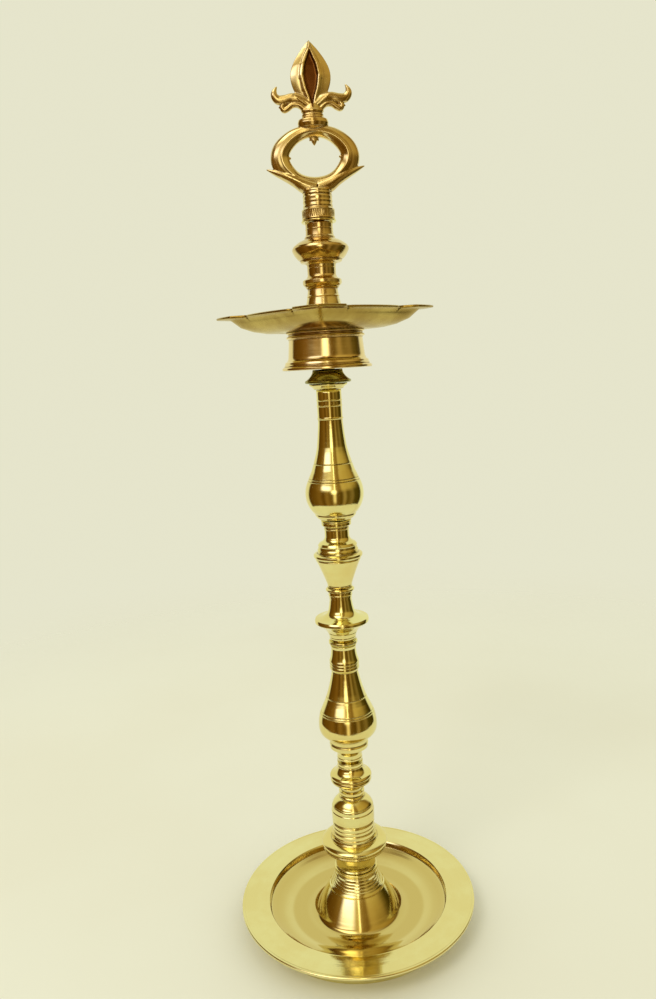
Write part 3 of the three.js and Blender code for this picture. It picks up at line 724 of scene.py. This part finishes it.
def wick_plate():
    """One folded sheet, as loops round the axis: out along the underside, over the rim and back in."""
    edge = rim_outline()
    angles = np.arctan2(edge[:, 1], edge[:, 0])
    reach = np.hypot(edge[:, 0], edge[:, 1])
    from_spout = np.abs((angles + math.pi / 4) % (math.pi / 2) - math.pi / 4)
    spout = np.clip(1 - from_spout / SPOUT_HALF_ANGLE, 0, 1) ** 1.5
    base, sides = bottom_of("wick_plate"), len(angles)
    cos, sin = np.cos(angles + PLATE_TURN), np.sin(angles + PLATE_TURN)
    vertices, shade = [], []

    def ring(radii, heights, hollow=0.0):
        vertices.extend(zip(radii * cos, radii * sin, np.zeros(sides) + heights + base))
        shade.extend([hollow] * sides)

    def walled(edge_distance, sharpness, height, hollow=0.0):
        radii = square_radius(angles, edge_distance, sharpness)
        ring(np.minimum(radii, reach - RIM_INSET), height, hollow)

    lip = PLATE_RIM - RIM_THICKNESS
    ring(BORE + 0.3, 0)
    for distance, sharpness, height in (
        (8, 2, 0), (29, 2, 0), (32.6, 4.5, 0.35), (37, 7.5, 1.9), (42.2, 11, 5.0), (44.6, 14, 8.2),
        (46.2, 15, 10.0), (46.9, 15, lip - 0.1),
    ):
        walled(distance, sharpness, height)
    for inset, height in (
        (RIM_INSET, lip + SPOUT_RISE * spout), (0.25, lip + 0.3), (0, lip + 0.8), (0.2, PLATE_RIM - 0.35),
        (0.8, PLATE_RIM),
    ):
        ring(reach - inset, height)
    for distance, sharpness, height, channel, hollow in (
        (46.0, 15, PLATE_RIM - 0.15, CHANNEL, 0), (45.0, 15, PLATE_RIM - 0.6, CHANNEL, TARNISHED),
        (43.3, 14, 10.0, CHANNEL, TARNISHED), (41.6, 12, 7.8, CHANNEL, TARNISHED), (38.4, 9, 5.2, 0, 0),
        (33.8, 6, 3.4, 0, 0), (30, 3.4, 2.6, 0, 0), (27, 2, 2.4, 0, 0), (8, 2, 2.4, 0, 0),
    ):
        walled(distance, sharpness, height - channel * spout, hollow)
    ring(BORE, 2.2)
    ring(BORE, 0.3)
    piece = add_object("spouted_plate", vertices, join_rings(len(vertices) // sides, sides, closed=True))
    point_values(piece, "hollow", shade)
    finish_piece(piece, "wick_plate", "plate_brass")


wick_plate()
lathe(
    "oil_seal_washer", [(12.0, 0), (12.4, 0.3), (12.4, 0.9), (12.0, 1.2)], "oil_washer", "leather", hole=BORE
)


# ---- Cast finial ----

RING_CENTRE = 23.6  # height of the finger ring's middle above its piece's bottom
RING_HALF_DEPTH = 4.3
RING_POINTS = 160
LEAF_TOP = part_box("finial_leaf")[1].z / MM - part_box("finial_leaf")[0].z / MM
LEAF_HALF_WIDTHS = [  # height, half width
    (4.6, 4.2), (8.0, 6.6), (12.0, 9.3), (16.0, 11.3), (20.0, 12.5), (24.0, 12.8), (28.0, 12.0),
    (32.0, 10.2), (36.0, 7.6), (40.0, 4.5), (43.0, 1.9), (LEAF_TOP, 0.12),
]
LEAF_HALF_THICKNESS = 2.5
RIDGE_WIDTH, RIDGE_HEIGHT = 2.5, 0.25
PETAL_STEP = 0.75  # from the ridge down to the outer petal
PANEL_DEPTH, PANEL_WALL = 1.25, 0.8
PANEL_FOOT = 4.5  # the tarnished panel starts this far above the leaf's bottom
STAIN_FADE = 0.7  # width over which the tarnish fades at the panel's edge
HOLLOW_GAIN = 6.0  # brings the casting's measured hollows to the scale of the turned pieces'


def smooth_curve(points, steps, closed=False):
    """A curve through the points (Catmull-Rom), with steps points to a span."""
    points = [np.array(p, float) for p in points]
    count = len(points)
    out = []
    for k in range(count if closed else count - 1):
        if closed:
            a, b, c, d = (points[(k + i - 1) % count] for i in range(4))
        else:
            a, b = points[max(0, k - 1)], points[k]
            c, d = points[k + 1], points[min(count - 1, k + 2)]
        square, cube = 2 * a - 5 * b + 4 * c - d, 3 * b - a - 3 * c + d
        for i in range(steps):
            t = i / steps
            out.append(0.5 * (2 * b + (c - a) * t + square * t * t + cube * t**3))
    if not closed:
        out.append(points[-1])
    return out


def skin(loops, vertices, faces, closed=False):
    """Joins loops of points into a tube, with flat ends unless it closes on itself."""
    first, sides = len(vertices), len(loops[0])
    for loop in loops:
        vertices += [tuple(p) for p in loop]
    faces += join_rings(len(loops), sides, closed, first)
    if not closed:
        faces.append(tuple(first + i for i in range(sides))[::-1])
        faces.append(tuple(first + (len(loops) - 1) * sides + i for i in range(sides)))


def horn(path, hand, vertices, faces, steps=8, sides=16):
    """A tapering tube in the finial's plane through (x, z, half width, half depth); hand -1 mirrors it."""
    samples = smooth_curve([(hand * x, z, wide, deep) for x, z, wide, deep in path], steps)
    loops = []
    for k, (x, z, wide, deep) in enumerate(samples):
        before, after = samples[max(0, k - 1)], samples[min(len(samples) - 1, k + 1)]
        ahead = np.array([after[0] - before[0], after[1] - before[1]])
        ahead /= max(np.linalg.norm(ahead), 1e-6)
        side = np.array([-ahead[1], ahead[0]])
        loop = []
        for out, front in directions(sides):
            sharp = 1.12 - 0.12 * abs(out) ** 2  # squares the tube's section a little
            loop.append((x + side[0] * wide * out * sharp, deep * front, z + side[1] * wide * out * sharp))
        loops.append(loop)
    skin(loops, vertices, faces)


def turned_shape(outline, along, vertices, faces, sides=40):
    """A turned form, flattened front to back by along."""
    around = directions(sides)
    loops = [[(radius * cos, radius * along * sin, z) for cos, sin in around] for radius, z in outline]
    skin(loops, vertices, faces)


def fuse(name, vertices, faces, base, voxel, smooth):
    """Melts overlapping shapes into one casting, and turns it to the finial's place."""
    piece = add_object(name, vertices, faces)
    bm = bmesh.new()
    bm.from_mesh(piece.data)
    bmesh.ops.recalc_face_normals(bm, faces=bm.faces)
    bm.to_mesh(piece.data)
    bm.free()
    remesh = piece.modifiers.new("fuse", "REMESH")
    remesh.mode = "VOXEL"
    remesh.voxel_size = voxel
    soften = piece.modifiers.new("soften", "SMOOTH")
    soften.factor = 0.5
    soften.iterations = smooth
    fused = bpy.data.meshes.new_from_object(piece.evaluated_get(bpy.context.evaluated_depsgraph_get()))
    piece.modifiers.clear()
    piece.data = fused
    fused.shade_smooth()
    fused.transform(Matrix.Translation((0, 0, base)) @ Matrix.Rotation(FINIAL_TURN, 4, "Z"))
    return piece


def vertex_vectors(mesh, name):
    """Each vertex's place or normal."""
    values = np.empty(len(mesh.vertices) * 3, np.float32)
    mesh.vertices.foreach_get(name, values)
    return values.reshape(-1, 3)


def mark_hollows(piece, reach=3):
    """Stores how concave the casting is at each vertex, smoothed a little."""
    mesh = piece.data
    count = len(mesh.vertices)
    co, no = vertex_vectors(mesh, "co"), vertex_vectors(mesh, "normal")
    edges = np.empty(len(mesh.edges) * 2, np.int32)
    mesh.edges.foreach_get("vertices", edges)
    a, b = edges.reshape(-1, 2).T
    along = co[b] - co[a]
    length = np.maximum(np.linalg.norm(along, axis=1), 1e-9)
    bend = np.einsum("ij,ij->i", no[a] - no[b], along / length[:, None])
    degree = np.maximum(np.bincount(a, minlength=count) + np.bincount(b, minlength=count), 1)
    value = (np.bincount(a, bend, count) + np.bincount(b, bend, count)) / degree
    for _ in range(reach):
        total = np.bincount(a, value[b], count) + np.bincount(b, value[a], count)
        value = 0.4 * value + 0.6 * total / degree
    point_values(piece, "hollow", value * HOLLOW_GAIN)


def mirrored(right):
    """The left half of a symmetrical outline, from the right half's points."""
    return [(-x, z) for x, z in right[::-1]]


def by_angle(points):
    """A closed curve through the points, as evenly spaced directions from the middle."""
    path = np.array(smooth_curve(points, 24, closed=True))
    angles = np.unwrap(np.arctan2(path[:, 1], path[:, 0]))
    wanted = angles[0] + np.arange(RING_POINTS) * 2 * math.pi / RING_POINTS
    closed_angles = np.append(angles, angles[0] + 2 * math.pi)
    closed_path = np.vstack([path, path[0]])
    return np.stack([np.interp(wanted, closed_angles, closed_path[:, i]) for i in range(2)], axis=1)


def finger_ring():
    """The ring with its ridge, its wings and thorns, on a turned neck and under a flattened cushion."""
    vertices, faces = [], []
    inner_top = [(16.6, 0.6), (12.8, 6.9), (6.8, 10.9)]
    inner_foot = [(7.8, -10.6), (13.4, -6.4)]
    outer_top = [(28.7, -1.8), (27.2, 6.2), (22.0, 12.6), (13.0, 17.8)]
    outer_foot = [(14.4, -17.2), (25.4, -9.4)]
    inner = [(0, 12.2), *mirrored(inner_top), *mirrored(inner_foot), (0, -12), *inner_foot, *inner_top]
    outer = [(0, 20), *mirrored(outer_top), *mirrored(outer_foot), (0, -20.4), *outer_foot, *outer_top]
    section = [  # share of the way out from the opening, share of the half depth
        (0.0, 0.0), (0.02, 0.32), (0.14, 0.62), (0.3, 0.9), (0.38, 1.0), (0.48, 0.93), (0.64, 0.86),
        (0.8, 0.7), (0.93, 0.42), (1.0, 0.0),
    ]
    section += [(u, -v) for u, v in section[-2:0:-1]]
    loops = []
    for near, far in zip(by_angle(inner), by_angle(outer)):
        loop = []
        for u, v in section:
            x, z = near + (far - near) * u
            loop.append((x, RING_HALF_DEPTH * v, z + RING_CENTRE))
        loops.append(loop)
    skin(loops, vertices, faces, closed=True)
    wing = [
        (1.0, 4.0, 5.2, 5.4), (7.6, 6.3, 4.9, 5.2), (13.6, 9.4, 3.6, 4.9), (19.6, 12.2, 2.7, 4.2),
        (25.2, 14.6, 1.9, 3.0), (29.6, 16.4, 0.9, 1.5), (31.7, 17.2, 0.3, 0.5),
    ]
    for hand in (1, -1):
        horn(wing, hand, vertices, faces)
    neck = [(9.4, 0), (9.5, 1.0), (9.0, 1.8), (9.3, 2.6), (8.6, 3.6), (6.0, 4.6)]
    cushion = [(6.6, 40.4), (9.2, 41.7), (10.0, 44.0), (9.4, 46.1), (7.9, 46.9), (7.0, 47.3), (7.0, 48.5)]
    drop = [(0.25, 30.6), (1.5, 32.4), (1.9, 33.8), (1.2, 35.2), (2.6, 37.4)]
    turned_shape(neck, 1.0, vertices, faces)
    turned_shape(cushion, 0.66, vertices, faces)
    turned_shape(drop, 0.9, vertices, faces)
    curl = [(0.6, 35.6, 1.2, 1.2), (2.0, 34.9, 0.9, 1.0), (3.0, 33.4, 0.3, 0.4)]
    bud = [(17.8, 23.4, 1.2, 1.6), (15.9, 23.5, 0.8, 1.1), (15.3, 23.6, 0.2, 0.3)]
    for hand in (1, -1):
        horn(curl, hand, vertices, faces, steps=5)
        horn(bud, hand, vertices, faces, steps=4)
    return fuse("finial_finger_ring", vertices, faces, bottom_of("finial_ring"), voxel=0.36, smooth=3)


def panel_share(z):
    """Half width of the bud's sunk centre panel, as a share of the leaf's."""
    return 0.37 * np.interp(z, [3, 6, 11, 16, 24, 31, 37, 39.5], [0.3, 0.34, 0.5, 0.8, 1.0, 0.86, 0.4, 0.0])


def leaf_relief(u, z, half):
    """Half thickness of the bud: a sunk panel, a rounded ridge on each side, and sloping outer petals."""
    panel = panel_share(z)
    ridge = min(0.3, RIDGE_WIDTH / half)
    top = LEAF_HALF_THICKNESS * np.interp(z, [3, 12, 30, 40, LEAF_TOP], [0.85, 1.0, 1.0, 0.72, 0.25])
    out = abs(u)
    if out < panel:
        return top - PANEL_DEPTH * min(1, (panel - out) * half / PANEL_WALL)
    if out < panel + ridge:
        return top + RIDGE_HEIGHT - (1.2 * (out - panel) / ridge - 0.35) ** 2
    share = (out - panel - ridge) / max(0.05, 1 - panel - ridge)
    return (top - PETAL_STEP) * (1 - 0.7 * share**1.4)


def stain_panel(piece, base):
    """Marks the bud's sunk panel, front and back, where dark tarnish has built up."""
    x, y, z = vertex_vectors(piece.data, "co").T
    across = np.abs(x * math.cos(FINIAL_TURN) + y * math.sin(FINIAL_TURN))
    height = z - base
    heights, halves = np.array(LEAF_HALF_WIDTHS).T
    edge = panel_share(height) * np.interp(height, heights, halves)
    inside = np.clip((edge - across) / STAIN_FADE + 0.35, 0, 1)
    point_values(piece, "stain", inside * (height > PANEL_FOOT))


def leaf():
    """The pointed bud between two curled side petals, on a flattened foot."""
    vertices, faces = [], []
    loops = []
    us = np.sin(np.linspace(-math.pi / 2, math.pi / 2, 61))
    for z, half in smooth_curve(LEAF_HALF_WIDTHS, 10):
        front = [(half * u, -leaf_relief(u, z, half), z) for u in us]
        back = [(half * u, leaf_relief(u, z, half), z) for u in us[::-1]]
        loops.append(front + back)
    skin(loops, vertices, faces)
    arm = [
        (2.0, 7.0, 3.6, 2.7), (7.0, 9.5, 3.4, 2.6), (12.0, 11.0, 3.1, 2.5), (17.0, 10.2, 3.0, 2.4),
        (21.2, 10.2, 2.9, 2.2), (23.5, 12.6, 2.4, 2.0), (23.4, 15.3, 1.7, 1.6), (21.8, 18.2, 0.4, 0.5),
    ]
    arch = [
        (4.6, 3.4, 1.7, 2.4), (8.4, 6.6, 1.7, 2.3), (12.4, 6.9, 1.8, 2.2), (15.6, 5.0, 1.9, 2.0),
        (17.9, 4.0, 1.8, 1.8), (19.2, 5.6, 1.6, 1.7), (18.0, 7.6, 1.4, 1.6),
    ]
    cusp = [(17.4, 8.6, 1.6, 1.7), (19.8, 6.2, 1.0, 1.2), (21.4, 5.6, 0.3, 0.5)]
    sepal = [(2.2, 5.2, 1.0, 2.6), (6.0, 8.0, 0.9, 2.9), (10.4, 11.4, 0.7, 2.6), (12.4, 13.4, 0.2, 1.6)]
    for hand in (1, -1):
        for shape in (arm, arch, cusp, sepal):
            horn(shape, hand, vertices, faces)
    foot = [(6.9, 0), (7.1, 0.5), (6.4, 0.9), (6.4, 1.7), (7.2, 2.2), (7.3, 2.9), (6.4, 3.7), (4.4, 7.0)]
    turned_shape(foot, 0.62, vertices, faces)
    piece = fuse("finial_bud_leaf", vertices, faces, bottom_of("finial_leaf"), voxel=0.3, smooth=2)
    stain_panel(piece, bottom_of("finial_leaf"))
    return piece


for piece, node in ((finger_ring(), "finial_ring"), (leaf(), "finial_leaf")):
    mark_hollows(piece)
    finish_piece(piece, node, "finial_brass")


# ---- Floor ----

FLOOR_COLOUR = (0.86, 0.85, 0.74)
FLOOR_SHADE = (0.84, 0.82, 0.70)
FADE_START, FADE_END = 0.40, 1.10  # metres from the lamp
CLOTH_RADIUS = 0.48  # the floor that the brass reflects; beyond it the brass reflects the darker room
CLOTH_BACK = 0.15  # how far behind the lamp the middle of that floor is
FLOOR_RADIUS = 2.0


def floor_finish():
    """Pale matt floor, fading out far from the lamp so that no horizon shows."""
    n = Finish("pale_floor")
    place = n.place()
    mottle = n.between(n.noise(place, 3.0, 3.0), 0.3, 0.7)
    n.put(n.shader.inputs["Base Color"], n.blend(mottle, rgb(*FLOOR_COLOUR), rgb(*FLOOR_SHADE)))
    n.shader.inputs["Roughness"].default_value = 0.9
    n.shader.inputs["Specular IOR Level"].default_value = 0.1
    distance = n.node("ShaderNodeVectorMath", {0: place}, operation="LENGTH").outputs["Value"]
    fade = n.between(distance, FADE_START, FADE_END)
    clear = n.node("ShaderNodeBsdfTransparent")
    both = n.node("ShaderNodeMixShader", {0: fade, 1: n.shader.outputs["BSDF"], 2: clear.outputs["BSDF"]})
    n.put(n.output.inputs["Surface"], both.outputs[0])
    return n.material


def floor_part(name, inner, outer, material):
    """A flat ring of floor round the lamp, between two radii in metres, or a disc if inner is 0."""
    sides = 96
    radii = (inner, outer) if inner else (outer,)
    around = directions(sides)
    vertices = [(radius * cos, radius * sin + CLOTH_BACK, 0) for radius in radii for cos, sin in around]
    faces = [face[::-1] for face in join_rings(2, sides)] if inner else [tuple(range(sides))]
    part = add_object(name, vertices, faces)
    part.data.materials.append(material)
    return part


floor_material = floor_finish()
floor_part("floor_near", 0, CLOTH_RADIUS, floor_material)
floor_part("floor_far", CLOTH_RADIUS, FLOOR_RADIUS, floor_material).visible_glossy = False


# ---- Room, light and camera ----

BACKDROP = (0.79, 0.78, 0.60)  # what the eye sees behind the lamp
DOME = (0.86, 0.86, 0.72)  # what lights the floor
PALE = (0.86, 0.86, 0.62)
# What the brass reflects round the room, by angle from the camera's direction: degrees, colour.
LOW_WALL = [
    (-128, PALE), (-117, (0.10, 0.045, 0.003)), (-88, (0.15, 0.070, 0.007)),
    (-62, (0.21, 0.105, 0.016)), (-46, (0.13, 0.06, 0.005)), (-32, (0.27, 0.15, 0.03)),
    (-15, (0.17, 0.09, 0.012)), (0, (0.36, 0.24, 0.07)), (12, (0.16, 0.085, 0.012)),
    (27, (0.11, 0.06, 0.005)), (40, (0.34, 0.23, 0.07)), (53, (0.13, 0.08, 0.01)),
    (74, (0.22, 0.15, 0.04)), (90, (0.08, 0.055, 0.005)), (117, (0.05, 0.034, 0.002)), (128, PALE),
]
HIGH_WALL = [
    (-128, PALE), (-117, (0.11, 0.05, 0.004)), (-90, (0.17, 0.085, 0.01)), (-66, (0.28, 0.16, 0.035)),
    (-44, (0.52, 0.39, 0.15)), (-24, (0.62, 0.47, 0.17)), (-6, (0.74, 0.58, 0.24)),
    (12, (0.34, 0.21, 0.05)), (22, (0.28, 0.165, 0.035)), (34, (0.60, 0.44, 0.14)),
    (60, (0.54, 0.39, 0.11)), (90, (0.44, 0.30, 0.075)), (112, (0.24, 0.15, 0.03)), (128, PALE),
]
CEILING = (0.68, 0.60, 0.36)
WALLS_MEET = (4, 24)  # degrees up, over which the low wall turns into the high one
CEILING_MEETS = (50, 85)
# Soft bright patches: place, half size and softness as (across, up) degrees, and colour.
WINDOWS = [
    ((-36, 25), (20, 7), (9, 6), (2.2, 2.05, 2.1)),
    ((-44, 60), (28, 15), (14, 9), (3.0, 2.8, 2.3)),
    ((0, -12), (5, 20), (4.5, 8), (1.05, 0.85, 0.45)),
    ((-3, 11.5), (8.5, 6), (7, 5), (2.7, 2.45, 1.7)),
    ((0.5, 42), (2.2, 34), (2.0, 10), (2.4, 2.1, 1.3)),
]


class Room(Nodes):
    """The room's nodes, with the angles of the direction that each ray looks in."""

    def __init__(self, world):
        super().__init__(world)
        split = self.node("ShaderNodeSeparateXYZ", {0: self.node("ShaderNodeTexCoord").outputs["Generated"]})
        x, y, z = (split.outputs[axis] for axis in "XYZ")
        level = self.math("SQRT", self.math("ADD", self.math("MULTIPLY", x, x), self.math("MULTIPLY", y, y)))
        # 0 towards the camera, positive to its right
        self.side = self.math("ARCTAN2", x, self.math("MULTIPLY", y, -1.0))
        self.height = self.math("ARCTAN2", z, level)

    def above(self, low, high):
        """0 below one height and 1 above the other, in degrees."""
        return self.between(self.height, math.radians(low), math.radians(high))

    def wall(self, stops):
        turn = self.math("ADD", self.math("DIVIDE", self.side, 2 * math.pi), 0.5)
        ramp = self.node("ShaderNodeValToRGB", {"Fac": turn})
        ramp.color_ramp.interpolation = "EASE"
        elements = ramp.color_ramp.elements
        while len(elements) < len(stops):
            elements.new(0.5)
        for element, (angle, colour) in zip(elements, stops):
            element.position = angle / 360 + 0.5
            element.color = rgb(*colour)
        return ramp.outputs["Color"]

    def band(self, value, centre, half, soft):
        off = self.math("ABSOLUTE", self.math("SUBTRACT", value, math.radians(centre)))
        outside = self.between(off, math.radians(half - soft), math.radians(half + soft))
        return self.math("SUBTRACT", 1.0, outside)

    def window(self, scene, at, half, soft, colour):
        """Lays a soft-edged bright patch over the room."""
        across = self.band(self.side, at[0], half[0], soft[0])
        up = self.band(self.height, at[1], half[1], soft[1])
        return self.blend(self.math("MULTIPLY", across, up), scene, rgb(*colour))

    def glow(self, colour):
        return self.node("ShaderNodeBackground", {"Color": colour, "Strength": 1.0}).outputs[0]


def light_room():
    """World: an even pale dome for the eye and the floor, and a dim warm room for the brass."""
    world = bpy.data.worlds.new("studio")
    bpy.context.scene.world = world
    n = Room(world)
    scene = n.blend(n.above(*WALLS_MEET), n.wall(LOW_WALL), n.wall(HIGH_WALL))
    scene = n.blend(n.above(*CEILING_MEETS), scene, rgb(*CEILING))
    for window in WINDOWS:
        scene = n.window(scene, *window)
    rays = n.node("ShaderNodeLightPath").outputs
    lit = n.node("ShaderNodeMixShader", {0: rays["Is Glossy Ray"], 1: n.glow(rgb(*DOME)), 2: n.glow(scene)})
    shown = {0: rays["Is Camera Ray"], 1: lit.outputs[0], 2: n.glow(rgb(*BACKDROP))}
    n.node("ShaderNodeOutputWorld", {"Surface": n.node("ShaderNodeMixShader", shown).outputs[0]})
    world.cycles.sampling_method = "NONE"


KEY_PLACE = Vector((-0.9, -1.2, 1.9))
KEY_TARGET = Vector((0, 0, 0.2))


def place_key_light():
    """One soft lamp that shades the floor; the brass reflects only the room."""
    light = bpy.data.lights.new("key", "AREA")
    light.shape = "DISK"
    light.size = 0.9
    light.energy = 9.0
    light.color = (1.0, 0.97, 0.88)
    lamp = bpy.data.objects.new("key", light)
    lamp.location = KEY_PLACE
    lamp.rotation_euler = (KEY_TARGET - KEY_PLACE).to_track_quat("-Z", "Y").to_euler()
    lamp.visible_glossy = False
    lamp.visible_camera = False
    bpy.context.scene.collection.objects.link(lamp)


CAMERA_DISTANCE = 0.5372
CAMERA_HEIGHT = 0.4073
CAMERA_ASIDE = 0.00476  # to the left of the lamp's axis
CAMERA_DOWN = math.radians(9.52)
CAMERA_ROLL = math.radians(3.4)
CAMERA_LENS = 28.47


def place_camera():
    """A short lens at two thirds of the lamp's height, tipped down and a little rolled."""
    camera = bpy.data.cameras.new("camera")
    camera.sensor_width = 36.0
    camera.lens = CAMERA_LENS
    camera.clip_start = 0.01
    holder = bpy.data.objects.new("camera", camera)
    bpy.context.scene.collection.objects.link(holder)
    turn = Matrix.Rotation(math.pi / 2 - CAMERA_DOWN, 4, "X") @ Matrix.Rotation(-CAMERA_ROLL, 4, "Z")
    place = Matrix.Translation((-CAMERA_ASIDE, -CAMERA_DISTANCE, CAMERA_HEIGHT))
    holder.matrix_world = place @ turn
    bpy.context.scene.camera = holder


light_room()
place_key_light()
place_camera()
bpy.context.scene.view_settings.view_transform = "Standard"
